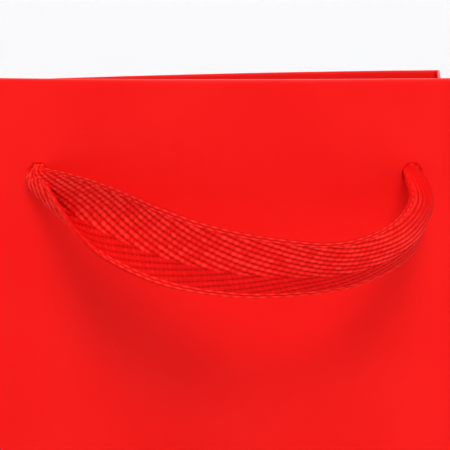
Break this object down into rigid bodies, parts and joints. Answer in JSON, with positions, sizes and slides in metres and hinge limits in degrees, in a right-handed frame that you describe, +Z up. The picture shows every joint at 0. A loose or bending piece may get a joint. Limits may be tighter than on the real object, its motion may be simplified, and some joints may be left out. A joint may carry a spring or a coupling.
{
  "type": "gift bag",
  "caption": "Small upright gusseted paper gift bag with a turned-over card-stiffened rim, a loose base board and knotted flat ribbon handles.",
  "frame": {"origin": "on the ground at the middle of the bag's base", "axes": "+Z up, +X to the right and -Y out of the front panel; the bag is 180 mm along X and 100 mm along Y without its handles"},
  "size_m": [0.18, 0.1888, 0.23],
  "materials": {
    "red_paper": "satin laminated, white reverse",
    "grey_card": "matte",
    "grey_board": "matte",
    "red_ribbon": "herringbone twill tape"
  },
  "bodies": {
    "root": {"front_panel": "red_paper", "rear_panel": "red_paper", "front_hem": "red_paper", "rear_hem": "red_paper", "front_rim_card": "grey_card", "rear_rim_card": "grey_card", "left_gusset_front": "red_paper", "left_gusset_rear": "red_paper", "right_gusset_front": "red_paper", "right_gusset_rear": "red_paper", "left_hem_front": "red_paper", "left_hem_rear": "red_paper", "right_hem_front": "red_paper", "right_hem_rear": "red_paper", "side_seam_flap": "red_paper", "outer_base_flap": "red_paper", "inner_base_flap": "red_paper", "left_base_tuck": "red_paper", "right_base_tuck": "red_paper", "front_left_knot": "red_ribbon", "front_right_knot": "red_ribbon", "rear_left_knot": "red_ribbon", "rear_right_knot": "red_ribbon"},
    "front_handle": {"front_handle_ribbon": "red_ribbon"},
    "rear_handle": {"rear_handle_ribbon": "red_ribbon"},
    "insert": {"base_board": "grey_board"}
  },
  "joints": [
    {"name": "front_handle_swing", "type": "hinge", "parent": "root", "child": "front_handle", "pos_m": [0, -0.054, 0.2], "axis": [-1, 0, 0], "range_deg": [0, 110]},
    {"name": "rear_handle_swing", "type": "hinge", "parent": "root", "child": "rear_handle", "pos_m": [0, 0.054, 0.2], "axis": [1, 0, 0], "range_deg": [0, 110]},
    {"name": "base_board_tilt", "type": "hinge", "parent": "root", "child": "insert", "pos_m": [0, 0.0479, 0.0033], "axis": [-1, 0, 0], "range_deg": [0, 85]}
  ]
}
